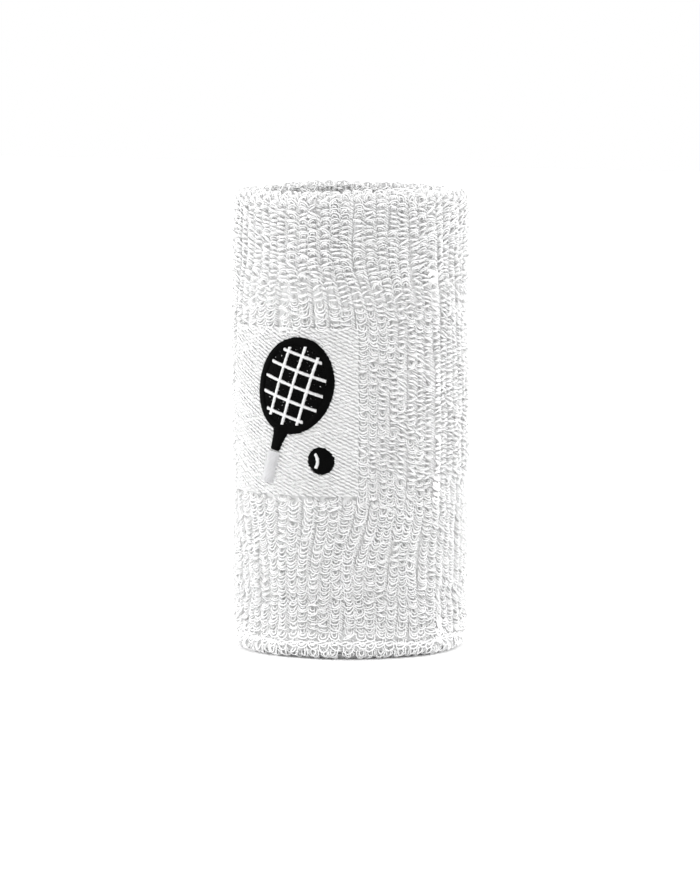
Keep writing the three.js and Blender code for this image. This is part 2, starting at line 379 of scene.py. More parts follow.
yarnLooks = {
    "terry": {
        "colour": (0.88, 0.88, 0.88), "darkest": 0.90, "cloudScale": 420.0, "fibreScale": 5200.0,
        "roughness": 0.9, "twist": 1.1, "plies": 2, "plyDepth": 0.35, "bump": 0.7, "bumpDepth": 0.09,
        "gloss": 0.2, "sheen": 0.15,
    },
    # paler copy of the terry yarn: painted light, a painted highlight along the folds and painted light
    # lifting the shade under the bottom rim
    "terryPaintedLight": {
        "colour": (0.97, 0.97, 0.97), "darkest": 0.97, "cloudScale": 420.0, "fibreScale": 5200.0,
        "roughness": 0.9, "twist": 1.4, "plies": 2, "plyDepth": 0.2, "bump": 0.5, "bumpDepth": 0.06,
        "gloss": 0.2, "sheen": 0.2,
    },
    "elastic": {
        "colour": (0.70, 0.68, 0.63), "darkest": 0.86, "cloudScale": 300.0, "fibreScale": 4200.0,
        "roughness": 0.62, "twist": 0.5, "plies": 1, "plyDepth": 0.8, "bump": 0.8, "bumpDepth": 0.06,
        "gloss": 0.35, "sheen": 0.05,
    },
    "overlock": {
        "colour": (0.85, 0.85, 0.84), "darkest": 0.92, "cloudScale": 500.0, "fibreScale": 6000.0,
        "roughness": 0.75, "twist": 0.8, "plies": 2, "plyDepth": 0.5, "bump": 0.7, "bumpDepth": 0.05,
        "gloss": 0.3, "sheen": 0.1,
    },
    "whiteThread": {
        "colour": (0.76, 0.76, 0.76), "darkest": 0.84, "cloudScale": 900.0, "fibreScale": 7000.0,
        "roughness": 0.48, "twist": 0.9, "plies": 2, "plyDepth": 0.7, "bump": 0.6, "bumpDepth": 0.04,
        "gloss": 0.35, "sheen": 0.0,
    },
    "blackThread": {
        "colour": (0.003, 0.003, 0.003), "darkest": 0.6, "cloudScale": 350.0, "fibreScale": 7000.0,
        "roughness": 0.7, "twist": 0.9, "plies": 2, "plyDepth": 0.7, "bump": 0.6, "bumpDepth": 0.04,
        "gloss": 0.02, "sheen": 0.0,
    },
    "greyThread": {
        "colour": (0.50, 0.50, 0.51), "darkest": 0.86, "cloudScale": 350.0, "fibreScale": 7000.0,
        "roughness": 0.42, "twist": 0.9, "plies": 2, "plyDepth": 0.7, "bump": 0.6, "bumpDepth": 0.04,
        "gloss": 0.5, "sheen": 0.05,
    },
    "bobbin": {
        "colour": (0.82, 0.82, 0.81), "darkest": 0.9, "cloudScale": 350.0, "fibreScale": 7000.0,
        "roughness": 0.6, "twist": 0.7, "plies": 2, "plyDepth": 0.6, "bump": 0.6, "bumpDepth": 0.04,
        "gloss": 0.3, "sheen": 0.05,
    },
}
yarns = {name: yarnMaterial(name, look) for name, look in yarnLooks.items()}


def clothMaterial(name, look):
    material, nodes, links, shader = newMaterial(name)
    place = nodes.new("ShaderNodeTexCoord")
    cloudy = noise(nodes, links, place.outputs["Object"], look["cloudScale"])
    darkest = shade(look["colour"], look["darkest"])
    colour = ramp(nodes, links, cloudy, darkest, shade(look["colour"], 1.0), 0.35, 0.65)
    links.new(colour, shader.inputs["Base Color"])
    fine = noise(nodes, links, place.outputs["Object"], look["fibreScale"], 5)
    rough = roughnessFrom(nodes, links, fine, look["roughness"], 0.05)
    links.new(rough, shader.inputs["Roughness"])
    bump = nodes.new("ShaderNodeBump")
    bump.inputs["Strength"].default_value = 0.8
    bump.inputs["Distance"].default_value = look["bumpDepth"] * mm
    links.new(fine, bump.inputs["Height"])
    links.new(bump.outputs["Normal"], shader.inputs["Normal"])
    shader.inputs["Specular IOR Level"].default_value = 0.2
    shader.inputs["Sheen Weight"].default_value = 0.1
    return material


clothLooks = {
    # greyer than the terry yarn: painted shade in the gaps between the loops
    "plain knit painted shade": {
        "colour": (0.72, 0.72, 0.72), "darkest": 0.88, "cloudScale": 700.0, "fibreScale": 3000.0,
        "roughness": 0.9, "bumpDepth": 0.12,
    },
    "non-woven": {
        "colour": (0.78, 0.78, 0.76), "darkest": 0.85, "cloudScale": 600.0, "fibreScale": 2500.0,
        "roughness": 0.88, "bumpDepth": 0.08,
    },
    "underlay": {
        "colour": (0.80, 0.80, 0.80), "darkest": 0.85, "cloudScale": 900.0, "fibreScale": 4000.0,
        "roughness": 0.7, "bumpDepth": 0.08,
    },
}
cloths = {name: clothMaterial(name, look) for name, look in clothLooks.items()}
print("materials done")


def dress(thing, material, slotName, *nodes):
    thing.data.materials.append(material)
    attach(thing, "root")
    if nodes:
        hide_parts(*nodes)
    return thing


# terry loops
terry = {
    "columns": 65,
    "coursePitch": 1.18,
    "end": 0.30,
    "yarn": 0.56,  # all ends as one, where they can't be told apart
    "foldEnd": 0.56,  # rubbed full along the folds
    "loopWidth": 2.25,
    "loopFoot": 0.42,  # how far apart its feet are, of its width
    "loopLength": 1.85,
    "loopHeight": 1.6,
    "ends": ((1.0, 1.0), (0.5, 0.64)),  # a loop is two ends of yarn: shares of its width and length
    "strandYarn": 0.30,  # crosses between the columns
    "strandHeight": 0.65,
    "hemHeights": (2.8, 4.9, 7.2),  # the last rows above the bottom rim are knitted looser
    "hemPitch": 1.1,
    "hemWidth": 2.4,
    "hemLength": 2.15,
    "skew": 0.26,
    "wander": 0.3,
    "pulled": 0.015,  # share of the loops that are pulled long
    "pulledLength": 1.35,
    "wearAndHighlightFrom": 0.38,  # how near a fold a loop is rubbed full and given the paler yarn, a painted highlight
    "seed": 11,
}
panelRadius = -fillLow[1]
panelHalf = math.asin(fillHigh[0] / panelRadius)
panelLow = fillLow[2]
panelHigh = fillHigh[2]
panelMid = (panelLow + panelHigh) / 2
spread = {  # the embroidery holds the knit wide and crowds the columns beside it
    "reach": 26.0,
    "fade": 9.0,
    "columns": 1,  # pushed out from under the panel, on each side
    "clear": 0.38,  # from the panel's edge to the middle of the first column, in columns
}
columnTurn = 2 * math.pi / terry["columns"]
lastCovered = (math.floor(panelHalf / columnTurn + 0.1) - spread["columns"]) * columnTurn
spreadPush = panelHalf + spread["clear"] * columnTurn - lastCovered  # carries that column to the edge


def spreadBy(phi, z):
    turn = (phi + math.pi) % (2 * math.pi) - math.pi
    beyond = np.maximum(np.abs(turn) - lastCovered, 0) * outerGround
    share = np.sign(turn) * np.minimum(np.abs(turn) / lastCovered, 1) * np.exp(-beyond / spread["reach"])
    height = window(z, panelLow - spread["fade"] - 1, panelHigh + spread["fade"] + 1, spread["fade"])
    return spreadPush * share * height


brushing = {  # -1 hangs down, 0 stands out, 1 is brushed up
    "hang": -0.95,
    "upFrom": (90, 98),
    "up": 1.6,
    "outFrom": (46, 90),
    "outAt": (84, 0.62),  # degrees round the band, reach in radians
    "out": 0.85,
    "inside": 0.6,
}


def leanAt(phi, z, inside):
    up = brushing["up"] * step(z + 4 * softField(phi, 0 * z, 21, (1, 3)), *brushing["upFrom"])
    degrees, span = brushing["outAt"]
    out = brushing["out"] * window(z, *brushing["outFrom"], 6) * hump(azimuthGap(phi, degrees), 0, span)
    ruffled = 0.15 * softField(phi, z, 5, (2, 14), 18) + 0.12 * softField(phi, z, 6, (8, 40), 7)
    outsideLean = brushing["hang"] + up + out * (1 - 0.6 * step(z, 84, 98)) + ruffled
    insideLean = brushing["inside"] + 0.3 * softField(phi, z, 7, (2, 12), 20)
    return np.where(inside, insideLean, outsideLean)


hemRows = [skinAtHeight(z) for z in terry["hemHeights"]]
hemFrom = seamZ - 5.5
hemTo = hemRows[-1] + 0.6
rowsAt = np.concatenate([
    np.arange(0.6, hemFrom, terry["coursePitch"]),
    np.arange(hemFrom + 0.6, hemRows[0] - 1.0, terry["hemPitch"]),
    hemRows,
    np.arange(hemRows[-1] + 1.3, skin["length"] - 0.8, terry["coursePitch"]),
])
rng = np.random.default_rng(terry["seed"])
columnGrid, rowGrid = np.meshgrid(np.arange(terry["columns"]), np.arange(len(rowsAt)))
loopCount = columnGrid.size
baseS = (rowsAt[rowGrid] + rng.normal(0, 0.1, rowGrid.shape)).ravel()
baseS = baseS + (columnGrid % 2).ravel() * terry["coursePitch"] * 0.35
basePhi = ((columnGrid + 0.5) / terry["columns"] * 2 * np.pi - np.pi).ravel()
baseR, baseZ, baseNr, baseNz = skinAt(baseS)
columnPitch = 2 * np.pi * outerGround / terry["columns"]
onOutside = baseR > midGround
besidePanel = hump(np.abs(basePhi), panelHalf, 0.13) * window(baseZ, panelLow, panelHigh, 2) * onOutside
slope = (spreadBy(basePhi + 0.01, baseZ) - spreadBy(basePhi - 0.01, baseZ)) / 0.02
stretch = 1 + slope * onOutside  # a loop is as wide as its column leaves room for
wander = terry["wander"] * softField(basePhi, baseS, 12, (5, 31), 30) / outerGround * (1 - besidePanel)
basePhi = basePhi + wander + spreadBy(basePhi, baseZ) * onOutside
onInside = (baseS > skinAtHeight(117, inside=True)) | (baseS < 12)
inHem = (baseS > hemFrom) & (baseS < hemTo)
inHemRows = (baseS > hemRows[0] - 0.9) & (baseS < hemTo)
tight = (baseR + 1.0 * baseNr) / (outerGround + 1.0)

leans = leanAt(basePhi, baseZ, onInside)
leans = np.where(onInside & (baseS < 60), -leans, leans)  # below the seam the run goes the other way
topness = np.clip(baseNz, 0, 1)
leans = np.clip(leans * (1 - 0.8 * topness) + rng.normal(0, 0.13, loopCount), -1.1, 1.0)
leans = np.where(inHem, np.where(baseNz < -0.3, 0.3, 0.95) * (-1 + rng.normal(0, 0.12, loopCount)), leans)
grow = 1 + rng.normal(0, 0.12, loopCount)
pulled = rng.random(loopCount) < terry["pulled"]
grow = np.where(pulled, grow * terry["pulledLength"], grow)
standing = 1 - np.clip(np.abs(leans) / 0.6, 0, 1)  # a loop that stands out is narrower, lower and turned
offTop = baseNz < 0.3
widths = np.where(inHemRows, terry["hemWidth"], terry["loopWidth"]) * tight
widths = widths * (1 + rng.normal(0, 0.08, loopCount))
widths = widths * (1 - 0.45 * standing * offTop) * np.clip(stretch, 0.7, 1.3)
lengths = np.where(inHem, terry["hemLength"], terry["loopLength"]) * grow * (1 - 0.14 * step(leans, 0, 0.5))
heights = terry["loopHeight"] * (1 - 0.22 * np.abs(leans)) * (1 + rng.normal(0, 0.07, loopCount))
heights = heights * (1 - 0.36 * standing * offTop)
heights = np.where(inHem & (baseNz < -0.5), 1.75, heights)
foldWearAndHighlight = onCrease(basePhi, baseZ) * onOutside
skews = terry["skew"] * rng.normal(0, 1, loopCount)
rolls = rng.normal(0, 0.16, loopCount) - 0.2 * standing * np.sign(softField(basePhi, baseS, 14, (2, 6), 60))

besideEdge, underEdge, overEdge = 0.2, 0.1, 0.25  # no loop is knitted this near the panel
inPanel = np.abs(basePhi) < panelHalf + besideEdge / outerGround
inPanel = inPanel & (baseZ > panelLow - underEdge) & (baseZ < panelHigh + overEdge)
keep = ~(inPanel & onOutside)


def loopPaths(chosen, points, wideShare, longShare):
    # one end of each chosen loop: up from one foot, round and down to the other
    u = np.linspace(0, 1, points)[None, :]
    wave = np.sin(np.pi * u)
    w = widths[chosen, None] * wideShare
    lean = leans[chosen, None]
    reach = lengths[chosen, None] * longShare
    ring = terry["loopFoot"] + (1 - terry["loopFoot"]) * wave ** 0.7
    t = -w / 1.36 * np.cos(np.pi * u) * ring + skews[chosen, None] * wave ** 2
    reach = reach * (1 + (longShare < 1) * 0.12 * np.sin(7.3 * chosen[:, None]))
    m = lean * reach * wave ** 0.9 + rolls[chosen, None] * np.cos(np.pi * u) * w
    n = heights[chosen, None] * (0.88 + 0.12 * longShare) * wave ** 0.6 - 0.12
    r = baseR[chosen, None]
    return onSkin(basePhi[chosen, None] + t / r, baseS[chosen, None] + m, n)


loopBands = [  # name, from, to, points and ends of a loop, sides of the yarn
    ("terry_loops_inside_hem", 0, hemFrom, 8, 1, 4),
    ("terry_loops_bottom_rim", hemFrom, hemTo, 9, 2, 5),
    ("terry_loops_outside_1", hemTo, skinAtHeight(22), 9, 2, 5),
    ("terry_loops_outside_2", skinAtHeight(22), skinAtHeight(37), 9, 2, 5),
    ("terry_loops_outside_3", skinAtHeight(37), skinAtHeight(54), 9, 2, 5),
    ("terry_loops_outside_4", skinAtHeight(54), skinAtHeight(72), 9, 2, 5),
    ("terry_loops_outside_5", skinAtHeight(72), skinAtHeight(88), 9, 2, 5),
    ("terry_loops_outside_6", skinAtHeight(88), skinAtHeight(101), 9, 2, 5),
    ("terry_loops_outside_7", skinAtHeight(101), skinAtHeight(113), 9, 2, 5),
    ("terry_loops_top_rim", skinAtHeight(113), skinAtHeight(114, inside=True), 10, 2, 5),
    ("terry_loops_inside_1", skinAtHeight(114, inside=True), skinAtHeight(94, inside=True), 8, 2, 4),
    ("terry_loops_inside_2", skinAtHeight(94, inside=True), skinAtHeight(55, inside=True), 8, 1, 4),
    ("terry_loops_inside_3", skinAtHeight(55, inside=True), skin["length"] + 1, 8, 1, 4),
]
onFold = foldWearAndHighlight > terry["wearAndHighlightFrom"]
for name, low, high, loopPoints, ends, sides in loopBands:
    chosen = np.nonzero(keep & ~onFold & (baseS >= low) & (baseS < high))[0]
    thick = terry["end"] if ends > 1 else terry["yarn"]
    paths = [loopPaths(chosen, loopPoints, *terry["ends"][end]) for end in range(ends)]
    piece = tubes(name, np.concatenate(paths), thick / 2, sides)
    # the bottom rim's loops take the paler yarn: painted light lifting the shade under the rim
    material = yarns["terryPaintedLight" if name == "terry_loops_bottom_rim" else "terry"]
    dress(piece, material, "terry_loops", "terry_pile_tube")
    print(name, len(chosen), "loops", len(piece.data.polygons) * 2, "triangles")
# loops on the folds get thicker yarn, and the paler yarn as a painted highlight along the creases
chosen = np.nonzero(keep & onFold)[0]
paths = np.concatenate([loopPaths(chosen, 9, *end) for end in terry["ends"]])
piece = tubes("terry_loops_on_folds", paths, terry["foldEnd"] / 2, 5)
dress(piece, yarns["terryPaintedLight"], "terry_loops", "terry_pile_tube")
print("terry_loops_on_folds", len(chosen), "loops")


# strands that cross from column to column
def strandPaths(chosen, points, drop):
    u = np.linspace(0, 1, points)[None, :]
    gap = columnPitch * (baseR[chosen, None] / outerGround)
    w = widths[chosen, None] * terry["loopFoot"]
    t = w / 2 + (gap - w) * u
    m = (0.55 - drop - 1.1 * u) * terry["coursePitch"] * (1 + 1.2 * rolls[chosen, None])
    n = terry["strandHeight"] * np.sin(np.pi * u) ** 0.7 - 0.05
    return onSkin(basePhi[chosen, None] + t / baseR[chosen, None], baseS[chosen, None] + m, n)


strandBands = [  # name, from, to, ends
    ("terry_strands_low", 0, skinAtHeight(36), 2),
    ("terry_strands_middle", skinAtHeight(36), skinAtHeight(88), 2),
    ("terry_strands_high", skinAtHeight(88), skinAtHeight(113, inside=True), 2),
    ("terry_strands_inside", skinAtHeight(113, inside=True), skin["length"], 1),
]
for name, low, high, ends in strandBands:
    chosen = np.nonzero(keep & (baseS >= low) & (baseS < high))[0]
    paths = np.concatenate([strandPaths(chosen, 4, 0.5 * end) for end in range(ends)])
    piece = tubes(name, paths, terry["strandYarn"] / 2, 3)
    dress(piece, yarns["terry"], "terry_loops", "terry_pile_tube")
    print(name, len(chosen), "strands")

# plain rounds between the loose rows at the bottom rim
hemRounds = {"heights": (4.0, 4.5), "yarn": 0.42, "out": 0.8, "waves": 65, "ripple": 0.22}
around = np.linspace(0, 2 * np.pi, hemRounds["waves"] * 5 + 1)
rounds = []
for number, z in enumerate(hemRounds["heights"]):
    drift = softField(around, 0 * around, 31, (2, 9))
    ripple = hemRounds["ripple"] * (np.sin(hemRounds["waves"] * around + 2.1 * number) + drift)
    out = hemRounds["out"] + 0.2 * np.cos(hemRounds["waves"] * around + 1.7 * number)
    rounds.append(onSkin(around, skinAtHeight(z) + ripple, out))
piece = tubes("terry_hem_rounds", np.array(rounds), hemRounds["yarn"] / 2, 8)
dress(piece, yarns["terry"], "terry_loops", "terry_pile_tube")

# ground knit
knit = {"wales": 126, "rows": 381, "ribHeight": 0.16, "courseHeight": 0.07, "under": 0.15}
phiLine = np.linspace(0, 2 * np.pi, knit["wales"] * 2 + 1)[:-1]
sLine = np.linspace(0, skin["length"] - 0.05, knit["rows"])
phiGrid, sGrid = np.meshgrid(phiLine, sLine)
rib = knit["ribHeight"] * np.cos(knit["wales"] * phiGrid)
courseWave = knit["courseHeight"] * np.cos(2 * np.pi * sGrid / (terry["coursePitch"] * 2))
shift = spreadBy(phiGrid, skinAt(sGrid)[1]) * (skinAt(sGrid)[0] > midGround)
knitPoints = onSkin(phiGrid + shift, sGrid, rib + courseWave - knit["under"])
groundSheet = sheetMesh("ground_knit", knitPoints, closed=True)
# the ground knit takes the greyer knit colour, painted shade between the loops
dress(groundSheet, cloths["plain knit painted shade"], "ground_knit", "ground_knit_tube")
print("ground_knit", len(groundSheet.data.polygons), "faces")


# embroidery
def onPanel(u, v, height):
    return aroundBand(u / panelRadius, outerGround + 0.3 + height, panelMid + v)


stitchShapes = {  # by its number of points: share of its length, and share of its arch
    6: ([0, 0.07, 0.28, 0.72, 0.93, 1], [-0.9, 0.35, 1, 1, 0.35, -0.9]),
    5: ([0, 0.12, 0.5, 0.88, 1], [-0.9, 0.5, 1, 0.5, -0.9]),
}


def alongStitches(ends, share):
    # ends is (stitches, 4): from u, v to u, v
    u = ends[:, 0:1] + (ends[:, 2:3] - ends[:, 0:1]) * share
    v = ends[:, 1:2] + (ends[:, 3:4] - ends[:, 1:2]) * share
    return u, v


def stitchPaths(ends, height, arch, points=6):
    share, lift = [np.array(values) for values in stitchShapes[points]]
    u, v = alongStitches(ends, share)
    return onPanel(u, v, height + arch * lift[None, :])


def fillStitches(inside, box, angle, spacing, length, stagger, rng, slack=0.06, pairing=0.0):
    # rows of stitches across a shape; stagger is each row's shift in stitch lengths
    c, s = math.cos(angle), math.sin(angle)
    reach = math.hypot(box[2] - box[0], box[3] - box[1]) / 2 + 1
    midU, midV = (box[0] + box[2]) / 2, (box[1] + box[3]) / 2
    line = np.arange(-reach, reach, 0.08)
    found = []
    for row in range(int(2 * reach / spacing)):
        off = -reach + row * spacing + (pairing if row % 2 else -pairing)
        u = midU + line * c - off * s
        v = midV + line * s + off * c
        within = inside(u, v)
        edges = np.nonzero(np.diff(np.concatenate([[0], within.astype(int), [0]])))[0]
        for first, last in zip(edges[::2], edges[1::2]):
            start, end = line[first], line[last - 1]
            if end - start < 0.3:
                continue
            shift = (row * stagger % 1) * length
            firstHole = math.ceil((start - shift) / length)
            lastHole = math.floor((end - shift) / length)
            holes = np.arange(firstHole, lastHole + 1) * length + shift
            holes = holes + rng.normal(0, 0.07 * length, len(holes))
            holes = holes[(holes > start + 0.35 * length) & (holes < end - 0.35 * length)]
            stops = np.concatenate([[start], holes, [end]])
            for a, b in zip(stops[:-1], stops[1:]):
                a2, b2 = a + 0.04, b - 0.04
                aside = off + rng.normal(0, slack)
                found.append([midU + a2 * c - aside * s, midV + a2 * s + aside * c,
                              midU + b2 * c - aside * s, midV + b2 * s + aside * c])
    return np.array(found)


def satinStitches(points, width, spacing, rng, lean=0.5):
    # zigzag over a line; points is (n, 2), width a number or one for each point
    points = np.asarray(points, float)
    run = np.append(0, np.cumsum(np.linalg.norm(np.diff(points, axis=0), axis=1)))
    at = np.arange(spacing / 2, run[-1], spacing)
    centre = np.column_stack([np.interp(at, run, points[:, k]) for k in (0, 1)])
    ahead = np.column_stack([np.interp(at + 0.05, run, points[:, k]) for k in (0, 1)])
    back = np.column_stack([np.interp(at - 0.05, run, points[:, k]) for k in (0, 1)])
    along = ahead - back
    along /= np.linalg.norm(along, axis=1, keepdims=True)
    side = np.column_stack([-along[:, 1], along[:, 0]])
    half = np.interp(at, run, np.broadcast_to(width, len(points)))[:, None] / 2
    half = half + rng.normal(0, 0.03, half.shape)
    tilt = along * spacing * lean / 2
    return np.hstack([centre + side * half - tilt, centre - side * half + tilt])


def embroider(name, ends, thread, height, arch, material, slotName, node, points=6, uneven=0.0):
    each = height + uneven * np.clip(threadRng.normal(0, 1, (len(ends), 1)), -1.6, 1.6)
    piece = tubes(name, stitchPaths(ends, each, arch, points), thread / 2, 5)
    print(name, len(ends), "stitches")
    return dress(piece, yarns[material], slotName, node)


panel = {
    "angle": -27.0,
    "spacing": 0.45,
    "pairing": 0.07,  # rows lie in pairs, out and back
    "stitch": 1.5,
    "stagger": 0.37,
    "thread": 0.43,
    "uneven": 0.07,
    "sway": 0.065,
    "height": 0.27,
    "arch": 0.28,
    "seed": 41,
    "threadSeed": 42,
}
fillRng = np.random.default_rng(panel["seed"])
threadRng = np.random.default_rng(panel["threadSeed"])  # the motif draws on from the panel
panelWide = panelHalf * panelRadius
panelTall = (panelHigh - panelLow) / 2


def insidePanel(u, v):
    return (np.abs(u) < panelWide) & (np.abs(v) < panelTall)


panelBox = (-panelWide, -panelTall, panelWide, panelTall)
fillEnds = fillStitches(insidePanel, panelBox, math.radians(panel["angle"]), panel["spacing"],
                        panel["stitch"], panel["stagger"], fillRng, panel["sway"], panel["pairing"])
embroider("panel_fill_stitches", fillEnds, panel["thread"], panel["height"], panel["arch"],
          "whiteThread", "white_embroidery", "panel_fill_stitching", uneven=panel["uneven"])

# the underlay that the fill is stitched over
underlay = {"steps": 61, "height": 0.12, "unevenness": 0.03}
uLine = np.linspace(-panelWide, panelWide, underlay["steps"])
vLine = np.linspace(-panelTall, panelTall, underlay["steps"])
uGrid, vGrid = np.meshgrid(uLine, vLine)
lift = underlay["height"] + underlay["unevenness"] * np.sin(9 * uGrid) * np.sin(8 * vGrid)
underlayPiece = sheetMesh("panel_underlay", onPanel(uGrid, vGrid, lift))
dress(underlayPiece, cloths["underlay"], "white_embroidery", "panel_fill_stitching")

motif = {
    "tilt": 18.0,
    "head": (3.6, 6.6),
    "headWidth": 20.8,
    "headLength": 25.0,
    "frameWidth": 1.9,
    "stringWidth": 0.7,
    "stringSpacing": 4.0,
    "throatLength": 5.0,
    "throatTop": 6.0,
    "shaft": 2.4,
    "gripLength": 8.4,
    "gripWidth": 3.6,
    "ball": (10.8, -12.4),
    "ballSize": 7.0,
    "ballSeam": 0.8,
    "thread": 0.40,
    "fineThread": 0.34,
    "bedSpacing": 0.288,
    "bedStitch": 3.4,
    "satinSpacing": 0.33,
    "ballSpacing": 0.3,
    "height": 0.66,
    "arch": 0.14,
    "finestArch": 0.12,
}
tilt = math.radians(motif["tilt"])


def racketPoint(across, along):
    return (motif["head"][0] + across * math.cos(tilt) + along * math.sin(tilt),
            motif["head"][1] - across * math.sin(tilt) + along * math.cos(tilt))


def racketAxes(u, v):
    du, dv = u - motif["head"][0], v - motif["head"][1]
    return du * math.cos(tilt) - dv * math.sin(tilt), du * math.sin(tilt) + dv * math.cos(tilt)


def insideOval(u, v, shrink):
    across, along = racketAxes(u, v)
    a = motif["headWidth"] / 2 - shrink
    b = motif["headLength"] / 2 - shrink
    return (across / a) ** 2 + (along / b) ** 2 < 1


def ovalLine(shrink, count=241):
    turn = np.linspace(-2.2, 2 * np.pi - 2.14, count)
    a = motif["headWidth"] / 2 - shrink
    b = motif["headLength"] / 2 - shrink
    return np.array([racketPoint(a * math.cos(t), b * math.sin(t)) for t in turn])


reach = motif["headLength"] / 2 + 1
headU, headV = motif["head"]
headBox = (headU - reach, headV - reach, headU + reach, headV + reach)
bedEnds = fillStitches(lambda u, v: insideOval(u, v, motif["frameWidth"] - 0.25), headBox, -tilt,
                       motif["bedSpacing"], motif["bedStitch"], 0.41, threadRng, 0.01)
frameLine = ovalLine(motif["frameWidth"] / 2)
frameEnds = satinStitches(frameLine, motif["frameWidth"], motif["satinSpacing"], threadRng)
headPaths = np.concatenate([stitchPaths(bedEnds, motif["height"], motif["arch"]),
                            stitchPaths(frameEnds, motif["height"] + 0.12, 0.26)])
headPiece = tubes("racket_head_stitches", headPaths, motif["thread"] / 2, 5)
dress(headPiece, yarns["blackThread"], "black_embroidery", "racket_head_stitching")
print("racket_head_stitches", len(headPaths), "stitches")

# strings: narrow satin lines up and across the bed
halfWide = motif["headWidth"] / 2 - motif["frameWidth"]
halfTall = motif["headLength"] / 2 - motif["frameWidth"]
stringEnds = []
for half, other, upright in ((halfWide, halfTall, True), (halfTall, halfWide, False)):
    count = math.floor(half / motif["stringSpacing"] - 0.2)
    for number in range(-count, count + 1):
        at = number * motif["stringSpacing"]
        reachTo = other * math.sqrt(1 - (at / half) ** 2) - 0.1
        steps = np.linspace(-reachTo, reachTo, 30)
        line = [racketPoint(at, t) if upright else racketPoint(t, at) for t in steps]
        stringEnds.append(satinStitches(line, motif["stringWidth"] - 0.1, 0.34, threadRng))
embroider("racket_string_stitches", np.vstack(stringEnds), motif["fineThread"], motif["height"] + 0.3,
          motif["finestArch"], "whiteThread", "white_embroidery", "racket_string_stitching", points=5)

# throat: narrows from the head to the shaft
throatTop = -motif["headLength"] / 2
throatEnd = throatTop - motif["throatLength"]
line = [racketPoint(0, a) for a in np.linspace(throatTop + 0.35, throatEnd, 20)]
wide = np.interp(np.linspace(0, 1, 20), [0, 0.25, 1], [motif["throatTop"] * 0.78, 3.6, motif["shaft"]])
throatEnds = satinStitches(line, wide, motif["satinSpacing"], threadRng)
embroider("racket_throat_stitches", throatEnds, motif["thread"], motif["height"] + 0.08, 0.22,
          "blackThread", "black_embroidery", "racket_throat_stitching")

gripTop = throatEnd - 0.3
line = [racketPoint(0, a) for a in np.linspace(gripTop, gripTop - motif["gripLength"], 20)]
gripEnds = satinStitches(line, motif["gripWidth"], 0.35, threadRng, 1.6)
embroider("racket_grip_stitches", gripEnds, motif["thread"], motif["height"] + 0.08, 0.24,
          "greyThread", "grey_embroidery", "racket_grip_stitching")

# ball
ballU, ballV = motif["ball"]
ballR = motif["ballSize"] / 2
ballLength = 100.0  # longer than the ball, so that each row is one stitch
ballEnds = fillStitches(lambda u, v: (u - ballU) ** 2 + (v - ballV) ** 2 < ballR ** 2,
                        (ballU - ballR, ballV - ballR, ballU + ballR, ballV + ballR),
                        math.radians(20), motif["ballSpacing"], ballLength, 0.5, threadRng, 0.01)
embroider("ball_stitches", ballEnds, motif["thread"], motif["height"], 0.24,
          "blackThread", "black_embroidery", "ball_stitching")
arcTurn = np.linspace(-0.62, 0.62, 30)
seamR = ballR - motif["ballSeam"] / 2
arcU = ballU - motif["ballSize"] * 0.55 + seamR * np.cos(arcTurn)
arc = np.column_stack([arcU, ballV + seamR * np.sin(arcTurn)])
ballSeamEnds = satinStitches(arc, 0.62, motif["satinSpacing"], threadRng)
embroider("ball_seam_stitches", ballSeamEnds, motif["fineThread"], motif["height"] + 0.38,
          motif["finestArch"], "whiteThread", "white_embroidery", "ball_seam_stitching", points=5)

# inside the wall: backing, bobbin thread and elastic
backing = {"thickness": 0.25, "steps": 41, "crinkle": 0.03}
backingHalf = math.asin(backingHigh[0] / -backingLow[1])
backingR = -backingLow[1] - backing["thickness"] / 2
phiLine = np.linspace(-backingHalf, backingHalf, backing["steps"])
zLine = np.linspace(backingLow[2], backingHigh[2], backing["steps"])
phiGrid, zGrid = np.meshgrid(phiLine, zLine)
crinkle = backing["crinkle"] * softField(6 * phiGrid, zGrid, 51, (1, 6), 9)
stabiliser = sheetMesh("stabiliser_sheet", aroundBand(phiGrid, backingR + crinkle, zGrid))
dress(stabiliser, cloths["non-woven"], "stabiliser", "embroidery_stabiliser")

bobbin = {"thread": 0.2, "spacing": 0.9, "stitch": 4.2, "seed": 43}
bobbinR = -bobbinLow[1] - bobbin["thread"] / 2
bobbinWide = math.asin(bobbinHigh[0] / -bobbinLow[1]) * bobbinR
bobbinTall = (bobbinHigh[2] - bobbinLow[2]) / 2
bobbinRng = np.random.default_rng(bobbin["seed"])
bobbinBox = (-bobbinWide, -bobbinTall, bobbinWide, bobbinTall)
ends = fillStitches(lambda u, v: (np.abs(u) < bobbinWide) & (np.abs(v) < bobbinTall), bobbinBox,
                    math.radians(panel["angle"]), bobbin["spacing"], bobbin["stitch"], panel["stagger"],
                    bobbinRng, 0.03)
u, v = alongStitches(ends, np.linspace(0, 1, 4)[None, :])
bobbinPaths = aroundBand(u / bobbinR, bobbinR + 0.02 * np.sin(3 * u), panelMid + v)
piece = tubes("bobbin_threads", bobbinPaths, bobbin["thread"] / 2, 4)
dress(piece, yarns["bobbin"], "bobbin_thread", "bobbin_thread")

elastic = {"yarn": 0.4, "pitch": 4.7}
windings = {
    "elastic_outer_winding": "elastic_yarn_outer_wall",
    "elastic_inner_winding": "elastic_yarn_inner_wall",
}
for name, node in windings.items():
    low, high = boxOf(node)
    r = high[0] - elastic["yarn"] / 2
    z0, z1 = low[2] + elastic["yarn"] / 2, high[2] - elastic["yarn"] / 2
    turns = int((z1 - z0) / elastic["pitch"])
    phi = np.linspace(0, 2 * np.pi * turns, turns * 60 + 1)
    path = aroundBand(phi % (2 * np.pi), r + 0 * phi, z0 + (z1 - z0) * phi / phi[-1])
    piece = tubes(name, path[None], elastic["yarn"] / 2, 6)
    dress(piece, yarns["elastic"], "elastic_yarn", node)
print("inside of the wall done")

